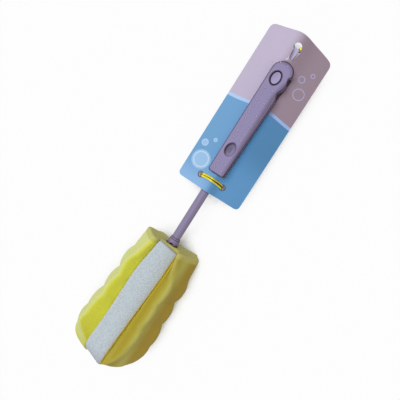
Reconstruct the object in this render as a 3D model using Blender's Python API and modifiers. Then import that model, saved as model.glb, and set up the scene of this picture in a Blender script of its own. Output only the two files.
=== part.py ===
# Sponge bottle brush with its hang card, lying on the back ridges of its foam head.
# The handle runs along X with the foam head at the low end. Y is across and Z is up.
# X is measured from the foam's end face, and Y and Z from the handle's axis.
# The root is moved at the end, so that the origin is under the middle of the whole.

import math

import bmesh
import bpy
from mathutils import Matrix

# General clearances
gap = 0.0003
reach = 0.002

# Shaft, neck and hang eye
shaft_radius = 0.00415
shaft_start = 0.0029
shaft_end = 0.180
neck_start = 0.176
neck_half_width = 0.0026
eye_centre = 0.2071
eye_side = -0.0009
eye_radius = 0.0065
eye_hole_radius = 0.0038
eye_half_thickness = 0.00125

# Fork clip
collar_radius = 0.00535
collar_low = -0.0015
shoulder_at = 0.0049
shoulder_drop = 0.0007
step_radius = 0.00495
collar_chamfer = 0.0005
collar_top = 0.0067
notch_half_width = 0.00185
notch_top = 0.0018
prong_width = 0.0027
prong_half_depth = 0.0026
prong_root = 0.0012
prong_length = 0.070
prong_tip_length = 0.005
barb_height = 0.0007
barb_length = 0.006
barb_back = 0.0008
prong_step = 0.00012
barb_pitch = 0.011
barb_first = 0.030
barb_count = 3

# Foam head
foam_length = 0.1345
foam_top_half_width = 0.0286
end_dish = 0.0016
first_valley = 0.022
wave_pitch = 0.0242
valley_half_width = 0.0304
foot_half_width = 0.0350
left_growth_start = 0.0005
left_growth = 0.0019
left_growth_run = 0.095
first_crest = 0.0034
last_crest = 0.0016
crest_power_share = 0.7
foam_offset = -0.0014
foam_half_depth = 0.0170
floor_half_width = 0.0113
floor_height = 0.0090
top_left_ridge_share = 0.55
low_left_ridge_share = 0.69
top_right_ridge_share = 0.40
low_right_ridge_share = 0.64
right_ridge_lag = 0.004
foot_ridge_share = 0.02
foot_ridge_start = 0.082
foot_tuck_share = 0.42
foot_tuck_start = 0.104
foot_tuck_run = 0.024
back_ridge_share = 0.62
top_back_left_share = 0.52
top_back_right_share = 0.72
back_floor_half_width = 0.0060
back_floor_height = 0.0115
ridge_run = 0.028
ridge_inner = 0.0028
ridge_inner_drop = 0.0012
ridge_peak_shift = 0.0003
ridge_outer = 0.0022
ridge_outer_drop = 0.0014
land_half_width = 0.0026
land_shoulder = 0.0015
land_shoulder_drop = 0.0013
corner_drop = 0.0025
corner_half_height = 0.0027
corner_inset = 0.0011
side_hollow = 0.0016
foam_edge_round = 0.0008
left_round_start = 0.100
right_round_start = 0.088
depth_round_start = 0.086
left_power_share = 3.8
right_power_share = 2.1
depth_power_share = 2.0
foot_slant_share = 0.13

# Lean of the front half and slant of the strip's foot
lean_share = 0.062
lean_half_depth = 0.0085
slant_start = 0.085
slant_run = 0.040
strip_slant_share = 0.40

# Scrub strip
strip_half_width = 0.0099
strip_top_narrow = 0.0011
strip_top_run = 0.030
strip_top_slant = 0.0025
strip_top_drop = 0.0012
strip_back_end = 0.098
strip_inner = 0.0085
strip_thickness = 0.0055
strip_corner = 0.0009
strip_turn = 0.1172
strip_lean_turn = math.radians(90.0) * 2.0 / 3.0
strip_bow = 0.0021
strip_bow_at = 0.040
strip_bow_reach = 0.030
strip_offset = -0.0003
strip_side_gap = 0.0004
channel_depth = 0.016

# Grip
grip_low = 0.0758
grip_end_centre = 0.178
grip_half_width = 0.0080
grip_end_radius = 0.00995
grip_end_side = -0.00205
grip_flare_start = 0.155
grip_flare_half_width = 0.0101
grip_half_thickness = 0.0070
grip_edge_round = 0.0019
grip_corner = 0.0014
scallop_depth = 0.0020
scallop_reach = 0.0036
scallop_first = 0.1763
scallop_second = 0.1615
dimple_at = 0.1000
dimple_half_length = 0.0070
dimple_half_width = 0.0050
dimple_depth = 0.0013
dimple_rise = 0.0012
pocket_at = 0.1719
pocket_half_length = 0.0066
pocket_half_width = 0.0048
pocket_depth = 0.0016
inlay_half_length = 0.0054
inlay_half_width = 0.0036
inlay_round = 0.0003
dot_radius = 0.00095
dot_height = 0.00035
dot_column = 0.0036
dot_pitch = 0.00617
dot_low = 0.0802
dot_middle = 0.1114
dot_high = 0.1850

# Hang card
card_low = 0.0574
card_top = 0.2082
card_top_rise = 0.0044
card_left_rise = 0.0054
card_half_width = 0.0321
card_offset = -0.0016
card_corner = 0.0045
card_left_skew = 0.0008
card_margin = 0.004
card_thickness = 0.00045
card_level = -0.0016
card_side_drop = 0.0036
low_bulge = 0.0066
low_bulge_reach = 0.0066
low_bulge_fade = 0.020
high_bulge = 0.0066
high_bulge_reach = 0.0110
high_bulge_start = 0.176
window_gap = 0.0004
hang_hole_at = 0.2037
hang_hole_side = -0.0015
hang_hole_radius = 0.0037
tear_low = 0.1916
tear_left = 0.0004
tear_right = -0.0053
tear_right_out = -0.0062
tear_step = 0.0033
tear_fray = 0.0004
punch_at = 0.0680
punch_left = 0.0121
punch_right = -0.0112
punch_radius = 0.0023

# Ribbon ties
tie_half_thickness = 0.00025
tie_half_width = 0.00185
tie_slack = 0.0002
tie_lap = 0.0032
tie_bow = 0.0015
upper_tie_half_width = 0.0012
upper_tie_half_span = 0.0020
upper_tie_turn = -0.61
upper_tie_open = 0.0004


def clear_scene():
    for thing in list(bpy.data.objects):
        bpy.data.objects.remove(thing, do_unlink=True)
    for group in list(bpy.data.collections):
        bpy.data.collections.remove(group)


clear_scene()
parts = bpy.data.collections.new("sponge_bottle_brush")
cutters = bpy.data.collections.new("cutters")
bpy.context.scene.collection.children.link(parts)
bpy.context.scene.collection.children.link(cutters)
cutters.hide_render = True


def material(name, colour, roughness):
    made = bpy.data.materials.new(name)
    made.use_nodes = True
    shader = made.node_tree.nodes["Principled BSDF"]
    shader.inputs["Base Color"].default_value = (*colour, 1.0)
    shader.inputs["Roughness"].default_value = roughness
    return made


def clamp(share):
    return min(max(share, 0.0), 1.0)


def between(low, high, share):
    return low + (high - low) * clamp(share)


def smooth(share):
    share = clamp(share)
    return share * share * (3.0 - 2.0 * share)


def bump(distance, spread):
    return math.exp(-(distance / spread) ** 2)


def add_part(name, mesh, finish):
    thing = bpy.data.objects.new(name, mesh)
    mesh.name = name
    mesh.materials.clear()
    mesh.materials.append(finish)
    parts.objects.link(thing)
    return thing


def add_cutter(name, mesh):
    thing = bpy.data.objects.new(name, mesh)
    mesh.name = name
    cutters.objects.link(thing)
    thing.hide_render = True
    thing.display_type = "WIRE"
    return thing


def boolean(thing, operation, cutter):
    step = thing.modifiers.new(operation.lower() + "_" + cutter.name, "BOOLEAN")
    step.operation = operation
    step.solver = "EXACT"
    step.object = cutter


def finish_mesh(name, working):
    bmesh.ops.recalc_face_normals(working, faces=working.faces)
    mesh = bpy.data.meshes.new(name)
    working.to_mesh(mesh)
    working.free()
    return mesh


def prism(name, outline, low, high):
    """Extrude a flat outline in X and Y between two heights, from a filled 2D curve."""
    curve = bpy.data.curves.new(name, "CURVE")
    curve.dimensions = "2D"
    curve.fill_mode = "BOTH"
    curve.extrude = (high - low) / 2.0
    spline = curve.splines.new("POLY")
    spline.points.add(len(outline) - 1)
    for point, (x, y) in zip(spline.points, outline):
        point.co = (x, y, 0.0, 1.0)
    spline.use_cyclic_u = True
    holder = bpy.data.objects.new(name, curve)
    bpy.context.scene.collection.objects.link(holder)
    bpy.context.view_layer.update()
    mesh = bpy.data.meshes.new_from_object(holder)
    bpy.data.objects.remove(holder, do_unlink=True)
    working = bmesh.new()
    working.from_mesh(mesh)
    bmesh.ops.remove_doubles(working, verts=working.verts, dist=0.00001)
    bmesh.ops.translate(working, verts=working.verts, vec=(0.0, 0.0, (high + low) / 2.0))
    bpy.data.meshes.remove(mesh)
    return finish_mesh(name, working)


def loft(name, rings):
    """Skin a run of like rings and close both ends."""
    working = bmesh.new()
    rows = [[working.verts.new(point) for point in ring] for ring in rings]
    count = len(rings[0])
    for near, far in zip(rows[:-1], rows[1:]):
        for index in range(count):
            after = (index + 1) % count
            working.faces.new((near[index], near[after], far[after], far[index]))
    working.faces.new(rows[0])
    working.faces.new(rows[-1])
    return finish_mesh(name, working)


def rod(name, low, high, radius, sides):
    """A round bar along X."""
    rings = []
    for x in (low, high):
        ring = []
        for step in range(sides):
            angle = 2.0 * math.pi * step / sides
            ring.append((x, radius * math.cos(angle), radius * math.sin(angle)))
        rings.append(ring)
    return loft(name, rings)


def block(name, low, high):
    working = bmesh.new()
    bmesh.ops.create_cube(working, size=1.0)
    for vertex in working.verts:
        for axis in range(3):
            vertex.co[axis] = between(low[axis], high[axis], vertex.co[axis] + 0.5)
    return finish_mesh(name, working)


def ellipse(centre_x, centre_y, half_length, half_width, sides):
    points = []
    for step in range(sides):
        angle = 2.0 * math.pi * step / sides
        points.append((centre_x + half_length * math.cos(angle), centre_y + half_width * math.sin(angle)))
    return points


def rounded(corners, radius, steps):
    """Round each corner of a closed outline."""
    points = []
    count = len(corners)
    for index in range(count):
        before = corners[index - 1]
        here = corners[index]
        after = corners[(index + 1) % count]
        reach_in = math.dist(here, before)
        reach_out = math.dist(here, after)
        start = [here[axis] + (before[axis] - here[axis]) * radius / reach_in for axis in range(2)]
        end = [here[axis] + (after[axis] - here[axis]) * radius / reach_out for axis in range(2)]
        for step in range(steps + 1):
            share = step / steps
            points.append(tuple((1 - share) ** 2 * start[axis] + 2 * share * (1 - share) * here[axis]
                                + share ** 2 * end[axis] for axis in range(2)))
    return points


def spline_through(knots, steps):
    """Points on a smooth curve through the knots."""
    points = []
    for index in range(len(knots) - 1):
        first = knots[max(index - 1, 0)]
        second = knots[index]
        third = knots[index + 1]
        fourth = knots[min(index + 2, len(knots) - 1)]
        for step in range(steps):
            share = step / steps
            point = []
            for axis in range(2):
                a, b, c, d = first[axis], second[axis], third[axis], fourth[axis]
                point.append(0.5 * (2 * b + (c - a) * share + (2 * a - 5 * b + 4 * c - d) * share ** 2
                                    + (3 * b - 3 * c + d - a) * share ** 3))
            points.append(tuple(point))
    points.append(tuple(knots[-1]))
    return points


def ribbon(name, path, centre_x, half_width, half_thickness):
    """A flat ribbon along a path of Y and Z, with its width along X about centre_x of Y and Z."""
    rings = []
    for index, (y, z) in enumerate(path):
        before = path[max(index - 1, 0)]
        after = path[min(index + 1, len(path) - 1)]
        along = math.dist(before, after)
        side_y = -(after[1] - before[1]) / along * half_thickness
        side_z = (after[0] - before[0]) / along * half_thickness
        low = centre_x(y, z) - half_width
        high = centre_x(y, z) + half_width
        rings.append([
            (low, y - side_y, z - side_z),
            (high, y - side_y, z - side_z),
            (high, y + side_y, z + side_z),
            (low, y + side_y, z + side_z),
        ])
    return loft(name, rings)


# Materials
lilac_plastic = material("lilac_plastic", (0.27, 0.235, 0.40), 0.5)
lilac_grip = material("lilac_grip", (0.30, 0.26, 0.43), 0.6)
inlay_plastic = material("inlay_plastic", (0.31, 0.27, 0.45), 0.55)
clip_plastic = material("clip_plastic", (0.25, 0.22, 0.38), 0.5)
yellow_foam = material("yellow_foam", (0.62, 0.57, 0.10), 0.95)
white_scrub = material("white_scrub", (0.62, 0.66, 0.70), 0.95)
printed_card = material("printed_card", (0.42, 0.50, 0.68), 0.5)
gold_ribbon = material("gold_ribbon", (0.85, 0.65, 0.10), 0.3)


# Shaft with its neck and hang eye
def make_shaft():
    thing = add_part("shaft", rod("shaft", shaft_start, shaft_end, shaft_radius, 32), lilac_plastic)
    neck_end = grip_end_centre + grip_end_radius + reach
    outline = [(neck_end, neck_half_width), (neck_start, neck_half_width)]
    outline += [(neck_start, -neck_half_width), (neck_end, -neck_half_width)]
    sweep = math.radians(152.0)
    for step in range(33):
        angle = -sweep + 2.0 * sweep * step / 32
        outline.append((eye_centre + eye_radius * math.cos(angle), eye_side + eye_radius * math.sin(angle)))
    plate = add_cutter("eye_plate", prism("eye_plate", outline, -eye_half_thickness, eye_half_thickness))
    boolean(thing, "UNION", plate)
    hole = ellipse(eye_centre, eye_side, eye_hole_radius, eye_hole_radius, 28)
    hole = prism("eye_hole", hole, -reach * 2, reach * 2)
    boolean(thing, "DIFFERENCE", add_cutter("eye_hole", hole))
    return thing


# Fork clip: a ferrule with a notched mouth and two barbed prongs
def make_clip():
    profile = [
        (collar_top, step_radius - collar_chamfer / 2.0),
        (collar_top - collar_chamfer, step_radius),
        (shoulder_at, step_radius - gap / 2.0),
        (shoulder_at, collar_radius - gap / 2.0),
        (shoulder_at - shoulder_drop, collar_radius),
        (collar_low + collar_chamfer, collar_radius),
        (collar_low, collar_radius - collar_chamfer),
    ]
    rings = []
    sides = 40
    for x, radius in profile:
        ring = []
        for step in range(sides):
            angle = 2.0 * math.pi * step / sides
            ring.append((x, radius * math.cos(angle), radius * math.sin(angle)))
        rings.append(ring)
    thing = add_part("fork_clip", loft("fork_clip", rings), clip_plastic)
    bore = rod("collar_bore", shaft_start - gap, collar_top + reach, shaft_radius + gap, 40)
    boolean(thing, "DIFFERENCE", add_cutter("collar_bore", bore))
    centre = notch_top - notch_half_width
    outline = [(collar_low - reach, notch_half_width), (collar_low - reach, -notch_half_width)]
    for step in range(13):
        angle = -math.pi / 2.0 + math.pi * step / 12
        outline.append((centre + notch_half_width * math.cos(angle), notch_half_width * math.sin(angle)))
    notch = prism("collar_notch", outline, -collar_radius - reach, collar_radius + reach)
    boolean(thing, "DIFFERENCE", add_cutter("collar_notch", notch))
    for side, label in ((1.0, "left"), (-1.0, "right")):
        outer = notch_half_width + prong_width
        inner = notch_half_width + gap / 3.0
        outline = [(collar_low + prong_root, inner), (-prong_length, inner)]
        outline.append((-prong_length, between(inner, outer, 0.45)))
        outline.append((-prong_length + prong_tip_length, outer - barb_count * prong_step))
        for index in range(barb_count - 1, -1, -1):
            foot = -(barb_first + barb_pitch * index)
            outline.append((foot - barb_length, outer - (index + 1) * prong_step))
            outline.append((foot - barb_back, outer + barb_height))
            outline.append((foot, outer - index * prong_step))
        outline.append((collar_low + prong_root, outer))
        outline = [(x, y * side) for x, y in outline]
        name = "prong_" + label
        prong = prism(name, outline, -prong_half_depth, prong_half_depth)
        boolean(thing, "UNION", add_cutter(name, prong))
    return thing


# Foam head
def foam_half_width(depth):
    if depth < first_valley:
        return between(foam_top_half_width, valley_half_width, depth / first_valley)
    run = (depth - first_valley) / wave_pitch
    grown = between(valley_half_width, foot_half_width, (run / 3.0) ** 2)
    crest = between(first_crest, last_crest, run / 4.0)
    return grown + crest * abs(math.sin(math.pi * run)) ** crest_power_share


def dome(depth, start, power):
    share = clamp((depth - start) / (foam_length - start))
    return (1.0 - share ** power) ** (1.0 / power)


def lean(place, depth, front, slant):
    """Lean the front half toward the left as it runs down, and slant the foot."""
    x, y, z = place
    turn = smooth((depth - slant_start) / slant_run)
    return (x + slant * turn * y, y + lean_share * max(depth, 0.0) * front, z)


def foam_ring(depth, inset):
    width = foam_half_width(depth)
    deep = dome(depth, depth_round_start, depth_power_share)
    half_depth = foam_half_depth * deep - inset
    hollow = side_hollow * smooth((depth - first_valley / 2.0) / first_valley)
    ring = []
    for side in (1.0, -1.0):
        if side > 0.0:
            side_width = width + left_growth_start + left_growth * clamp(depth / left_growth_run) ** 2
            round_share = dome(depth, left_round_start, left_power_share)
            ridge = between(top_left_ridge_share, low_left_ridge_share, depth / ridge_run)
            ridge += foot_ridge_share * smooth((depth - foot_ridge_start) / ridge_run)
            ridge -= foot_tuck_share * smooth((depth - foot_tuck_start) / foot_tuck_run)
            ridge *= side_width * round_share - inset
            back_share = between(top_back_left_share, back_ridge_share, depth / ridge_run)
        else:
            side_width = width
            round_share = dome(depth, right_round_start, right_power_share)
            ridge = between(top_right_ridge_share, low_right_ridge_share, depth / ridge_run)
            ridge *= foam_half_width(depth - right_ridge_lag) * round_share - inset
            back_share = between(top_back_right_share, back_ridge_share, depth / ridge_run)
        half = side_width * round_share - inset
        back = back_share * half
        floor = min(floor_half_width, 0.6 * back, 0.85 * (ridge - ridge_inner * round_share))
        level = min(floor_height, 0.8 * half_depth)
        back_floor = min(back_floor_half_width, 0.5 * back)
        back_level = min(back_floor_height, 0.85 * half_depth)
        corner = -corner_drop * deep
        small = round_share
        front_mid = [between(ridge, half, 0.42), between(half_depth, corner, 0.36)]
        side_mid = [between(ridge, half, 0.78), between(half_depth, corner, 0.70)]
        points = [
            (floor, level),
            (ridge - ridge_inner * small, half_depth - ridge_inner_drop * deep),
            (ridge - ridge_peak_shift * small, half_depth),
            (ridge + ridge_outer * small, half_depth - ridge_outer_drop * deep),
            (front_mid[0] + ridge_peak_shift * small - hollow * small / 2.0, front_mid[1]),
            (side_mid[0] - hollow * small / 2.0, side_mid[1]),
            (half - corner_inset * small, corner + corner_half_height * deep),
            (half, corner),
            (half - corner_inset * small, corner - corner_half_height * deep),
            (between(half, back, 0.55) - hollow * small / 2.0, between(corner, -half_depth, 0.55)),
            (back + (land_half_width + land_shoulder) * small, -half_depth + land_shoulder_drop * deep),
            (back + land_half_width * small, -half_depth),
            (back - land_half_width * small, -half_depth),
            (back - (land_half_width + land_shoulder) * small, -half_depth + land_shoulder_drop * deep),
            (back_floor, -back_level),
        ]
        if side < 0.0:
            points.reverse()
        for y, z in points:
            front = clamp((z + lean_half_depth) / (2.0 * lean_half_depth))
            ring.append(lean((-depth, side * y + foam_offset, z), depth, front, foot_slant_share))
    return ring


def make_foam():
    rings = [foam_ring(-end_dish, foam_edge_round)]
    rings.append(foam_ring(-end_dish + foam_edge_round * 0.3, foam_edge_round * 0.3))
    depths = [-end_dish + foam_edge_round]
    for step in range(1, 4):
        depths.append(between(foam_edge_round, first_valley, step / 4))
    for step in range(18):
        depths.append(first_valley + wave_pitch * step / 5)
    start = depths[-1]
    for share in (0.17, 0.34, 0.50, 0.65, 0.78, 0.88, 0.95, 0.985):
        depths.append(between(start, foam_length, share))
    for depth in depths:
        rings.append(foam_ring(depth, 0.0))
    thing = add_part("foam_head", loft("foam_head", rings), yellow_foam)

    outline = [(reach * 2, foam_half_depth * 2), (reach * 2, -foam_half_depth * 2)]
    for step in range(15):
        across = -1.1 + 2.2 * step / 14
        outline.append((end_dish * across ** 2, foam_offset + across * foam_top_half_width))
    hollow = prism("end_hollow", outline, -foam_half_depth - reach, foam_half_depth + reach)
    boolean(thing, "DIFFERENCE", add_cutter("end_hollow", hollow))

    seat = rod("collar_seat", collar_low - gap, reach, collar_radius + gap, 40)
    seat = add_cutter("collar_seat", seat)
    web = block("collar_web", (-reach * 3, -notch_half_width + gap, -collar_radius - reach),
                (reach * 2, notch_half_width - gap, collar_radius + reach))
    boolean(seat, "DIFFERENCE", add_cutter("collar_web", web))
    boolean(thing, "DIFFERENCE", seat)
    outer = notch_half_width + prong_width + barb_height + gap
    for side, label in ((1.0, "left"), (-1.0, "right")):
        inner_side = side * (notch_half_width - gap)
        outer_side = side * outer
        pocket = block("prong_pocket_" + label,
                       (-prong_length - gap, min(inner_side, outer_side), -prong_half_depth - gap),
                       (reach, max(inner_side, outer_side), prong_half_depth + gap))
        boolean(thing, "DIFFERENCE", add_cutter("prong_pocket_" + label, pocket))

    channel = strip_band("strip_channel", strip_inner - gap, strip_inner + channel_depth,
                         strip_half_width + strip_side_gap, reach * 2, gap, 0.0)
    boolean(thing, "DIFFERENCE", add_cutter("strip_channel", channel))
    return thing


# Scrub strip: down the front valley, round the foot and up the back
def strip_band(name, inner, outer, half_width, past, back_past, corner):
    stations = [(past, 0.0), (-strip_top_run, 0.0)]
    stations += [(between(-strip_top_run, -slant_start, step / 5), 0.0) for step in range(1, 5)]
    for step in range(7):
        stations.append((between(-slant_start, -strip_turn, step / 6), 0.0))
    for step in range(1, 20):
        stations.append((-strip_turn, math.pi * step / 20))
    for step in range(5):
        stations.append((between(-strip_turn, -strip_back_end + back_past, step / 4), math.pi))
    rings = []
    for x, angle in stations:
        ring = []
        top = 1.0 - clamp(-x / strip_top_run)
        half = half_width - strip_top_narrow * top
        if corner > 0.0:
            across = [(-half, inner), (half, inner), (half, outer - corner), (half - corner, outer),
                      (0.0, outer), (-half + corner, outer), (-half, outer - corner)]
        else:
            across = [(-half, inner), (half, inner), (half, outer), (-half, outer)]
        for y, radius in across:
            drop = strip_top_slant * top * (half - y) / (2.0 * half)
            bow = strip_bow * bump(-x - strip_bow_at, strip_bow_reach) * (half + y) / (2.0 * half)
            place = (x - drop - radius * math.sin(angle), y + bow + strip_offset, radius * math.cos(angle))
            front = 1.0 - smooth(angle / strip_lean_turn - 1.0)
            ring.append(lean(place, -x, front, strip_slant_share))
        rings.append(ring)
    return loft(name, rings)


def make_strip():
    band = strip_band("scrub_strip", strip_inner, strip_inner + strip_thickness, strip_half_width,
                      -strip_top_drop, 0.0, strip_corner)
    return add_part("scrub_strip", band, white_scrub)


# Grip in two halves, with an inlay
def grip_right_side(x):
    """The right edge widens slowly, then flares to the round end."""
    slow = between(grip_half_width, grip_flare_half_width, (x - grip_low) / (grip_flare_start - grip_low))
    wide = grip_end_radius - grip_end_side
    flare = smooth((x - grip_flare_start) / (grip_end_centre - grip_flare_start))
    return -slow - (wide - grip_flare_half_width) * flare


def round_end(extra):
    """The round end's outline, from the left edge to the right."""
    radius = grip_end_radius + extra
    points = []
    for step in range(21):
        angle = math.pi / 2.0 - math.pi * step / 20
        points.append((grip_end_centre + radius * math.cos(angle), grip_end_side + radius * math.sin(angle)))
    return points


def grip_outline(scalloped):
    points = [(grip_low, grip_half_width - grip_corner), (grip_low + grip_corner / 3.0,
              grip_half_width - grip_corner / 3.0), (grip_low + grip_corner, grip_half_width)]
    points += round_end(0.0)
    fine = 34
    run_low = scallop_second - scallop_reach * 2.6
    for step in range(1, fine + 1):
        x = between(grip_end_centre, run_low, step / fine)
        notch = 0.0
        if scalloped:
            notch = bump(x - scallop_first, scallop_reach) + bump(x - scallop_second, scallop_reach)
        if scalloped or step % 6 == 0:
            points.append((x, grip_right_side(x) + scallop_depth * min(notch, 1.0)))
    points.append((grip_low + grip_corner, -grip_half_width))
    points.append((grip_low + grip_corner / 3.0, -grip_half_width + grip_corner / 3.0))
    points.append((grip_low, -grip_half_width + grip_corner))
    return points


def make_grip():
    core = rod("grip_bore", grip_low - reach, shaft_end + gap, shaft_radius + gap, 32)
    core = add_cutter("grip_bore", core)
    neck = block("neck_slot", (neck_start, -neck_half_width - gap, -eye_half_thickness - gap),
                 (grip_end_centre + grip_end_radius + reach, neck_half_width + gap, eye_half_thickness + gap))
    neck = add_cutter("neck_slot", neck)
    halves = []
    for name, side in (("grip_front_shell", 1.0), ("grip_back_shell", -1.0)):
        mesh = prism(name, grip_outline(side > 0.0), -grip_half_thickness, grip_half_thickness)
        thing = add_part(name, mesh, lilac_grip)
        soften = thing.modifiers.new("edge_round", "BEVEL")
        soften.width = grip_edge_round
        soften.segments = 3
        soften.limit_method = "ANGLE"
        soften.angle_limit = math.radians(60.0)
        seam = side * gap / 2.0
        far = side * (grip_half_thickness + reach)
        keep = block(name + "_side", (grip_low - reach, -grip_end_radius - reach * 2, min(seam, far)),
                     (grip_end_centre + grip_end_radius + reach, grip_end_radius + reach, max(seam, far)))
        boolean(thing, "INTERSECT", add_cutter(name + "_side", keep))
        boolean(thing, "DIFFERENCE", core)
        boolean(thing, "DIFFERENCE", neck)
        halves.append(thing)

    front = halves[0]
    face = grip_half_thickness
    pocket = prism("inlay_pocket", ellipse(pocket_at, 0.0, pocket_half_length, pocket_half_width, 40),
                   face - pocket_depth, face + reach)
    boolean(front, "DIFFERENCE", add_cutter("inlay_pocket", pocket))

    working = bmesh.new()
    bmesh.ops.create_uvsphere(working, u_segments=40, v_segments=24, radius=1.0)
    # The ellipsoid's centre stands above the face, so that it cuts the dimple's outline there.
    tall = dimple_depth + dimple_rise
    spread = 1.0 / math.sqrt(1.0 - (dimple_rise / tall) ** 2)
    for vertex in working.verts:
        vertex.co.x = dimple_at + vertex.co.x * dimple_half_length * spread
        vertex.co.y = vertex.co.y * dimple_half_width * spread
        vertex.co.z = face + dimple_rise + vertex.co.z * tall
    boolean(front, "DIFFERENCE", add_cutter("thumb_dimple", finish_mesh("thumb_dimple", working)))

    working = bmesh.new()
    along = [dot_low, dot_low + dot_pitch, dot_high]
    along += [dot_middle + dot_pitch * step for step in range(9)]
    for x in along:
        for side in (-1.0, 1.0):
            rows = []
            for share, level in ((1.0, -dot_height), (1.0, 0.0), (0.72, 0.75 * dot_height)):
                ring = []
                for step in range(10):
                    angle = 2.0 * math.pi * step / 10
                    ring.append(working.verts.new((x + dot_radius * share * math.cos(angle),
                                                   side * dot_column + dot_radius * share * math.sin(angle),
                                                   face + level)))
                rows.append(ring)
            peak = working.verts.new((x, side * dot_column, face + dot_height))
            working.faces.new(rows[0])
            for near, far in zip(rows[:-1], rows[1:]):
                for index in range(10):
                    after = (index + 1) % 10
                    working.faces.new((near[index], near[after], far[after], far[index]))
            for index in range(10):
                working.faces.new((rows[-1][index], rows[-1][(index + 1) % 10], peak))
    boolean(front, "UNION", add_cutter("grip_dots", finish_mesh("grip_dots", working)))

    inlay = prism("thumb_inlay", ellipse(pocket_at, 0.0, inlay_half_length, inlay_half_width, 40),
                  face - pocket_depth + gap, face)
    inlay = add_part("thumb_inlay", inlay, inlay_plastic)
    soften = inlay.modifiers.new("edge_round", "BEVEL")
    soften.width = inlay_round
    soften.segments = 2
    soften.limit_method = "ANGLE"
    soften.angle_limit = math.radians(60.0)
    return halves + [inlay]


# Hang card
def card_height(x, y):
    low = low_bulge * bump(y, low_bulge_reach) * (1.0 - smooth((x - grip_low) / low_bulge_fade))
    rise = smooth((x - high_bulge_start) / (grip_end_centre + grip_end_radius - high_bulge_start))
    high = high_bulge * bump(y, high_bulge_reach) * rise
    return card_level + low + high - card_side_drop * (y / card_half_width) ** 2


def card_lift(y):
    """How far the top edge stands above its right corner."""
    across = (y - card_offset) / card_half_width
    return card_top_rise * (1.0 - across * across) + card_left_rise * (across + 1.0) / 2.0


def card_outline():
    left = card_offset + card_half_width
    right = card_offset - card_half_width
    corners = [(card_low, left), (card_low, right), (card_top, right)]
    points = rounded(corners + [(card_top, left)], card_corner, 6)
    shaped = []
    for x, y in points:
        lift = card_lift(y) * smooth((x - grip_end_centre) / (card_top - grip_end_centre))
        skew = card_left_skew * (1.0 - 1.5 * clamp((x - card_low) / (card_top - card_low)))
        shaped.append((x + lift, y + skew * clamp(y / card_half_width)))
    # The top edge runs from right to left, after the third corner's points.
    head = shaped[:21]
    tail = shaped[21:]
    middle = []
    start = head[-1][1]
    end = tail[0][1]
    for step in range(1, 16):
        y = between(start, end, step / 16)
        middle.append((card_top + card_lift(y), y))
    return head + middle + tail


def window_outline():
    low = grip_low - window_gap
    side = grip_half_width + window_gap
    points = [(low, side - grip_corner / 2.0), (low + grip_corner / 2.0, side)]
    points += round_end(window_gap)
    for step in range(1, 9):
        x = between(grip_end_centre, grip_flare_start, step / 8)
        points.append((x, grip_right_side(x) - window_gap))
    points.append((low + grip_corner / 2.0, -side))
    points.append((low, -side + grip_corner / 2.0))
    return points


def tear_outline():
    """The hang hole with the slot that is torn from it towards the window."""
    high = hang_hole_at - hang_hole_radius
    middle = between(tear_low, high, 0.5)
    points = [(high, tear_left + tear_fray), (middle, tear_left),
              (tear_low + tear_fray, tear_left - tear_fray), (tear_low, between(tear_left, tear_right, 0.4)),
              (tear_low + tear_fray, between(tear_left, tear_right, 0.6)),
              (tear_low + tear_fray, tear_right + tear_fray * 2), (tear_low + tear_step / 2.0, tear_right),
              (tear_low + tear_step * 2, tear_right), (high, tear_right_out)]
    first = math.atan2(points[-1][1] - hang_hole_side, -hang_hole_radius * 0.55)
    last = math.atan2(points[0][1] - hang_hole_side, -hang_hole_radius * 0.75)
    for step in range(27):
        angle = between(first, last, step / 26)
        points.append((hang_hole_at + hang_hole_radius * math.cos(angle),
                       hang_hole_side + hang_hole_radius * math.sin(angle)))
    return points


def make_card():
    low_x = card_low - card_margin
    high_x = card_top + card_top_rise + card_margin
    low_y = card_offset - card_half_width - card_margin
    high_y = card_offset + card_half_width + card_margin
    working = bmesh.new()
    bmesh.ops.create_grid(working, x_segments=36, y_segments=32, size=1.0)
    for vertex in working.verts:
        x = between(low_x, high_x, (vertex.co.x + 1.0) / 2.0)
        y = between(low_y, high_y, (vertex.co.y + 1.0) / 2.0)
        vertex.co = (x, y, card_height(x, y))
    thing = add_part("hang_card", finish_mesh("hang_card", working), printed_card)
    thick = thing.modifiers.new("thickness", "SOLIDIFY")
    thick.thickness = card_thickness
    thick.offset = 0.0
    tall = card_side_drop * 4
    boolean(thing, "INTERSECT", add_cutter("card_edge", prism("card_edge", card_outline(), -tall, tall)))
    window = prism("card_window", window_outline(), -tall, tall)
    boolean(thing, "DIFFERENCE", add_cutter("card_window", window))
    tear = prism("card_hang_hole", tear_outline(), -tall, tall)
    boolean(thing, "DIFFERENCE", add_cutter("card_hang_hole", tear))
    for name, side in (("punch_left", punch_left), ("punch_right", punch_right)):
        hole = prism(name, ellipse(punch_at, side, punch_radius, punch_radius, 20), -tall, tall)
        boolean(thing, "DIFFERENCE", add_cutter(name, hole))
    return thing


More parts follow.
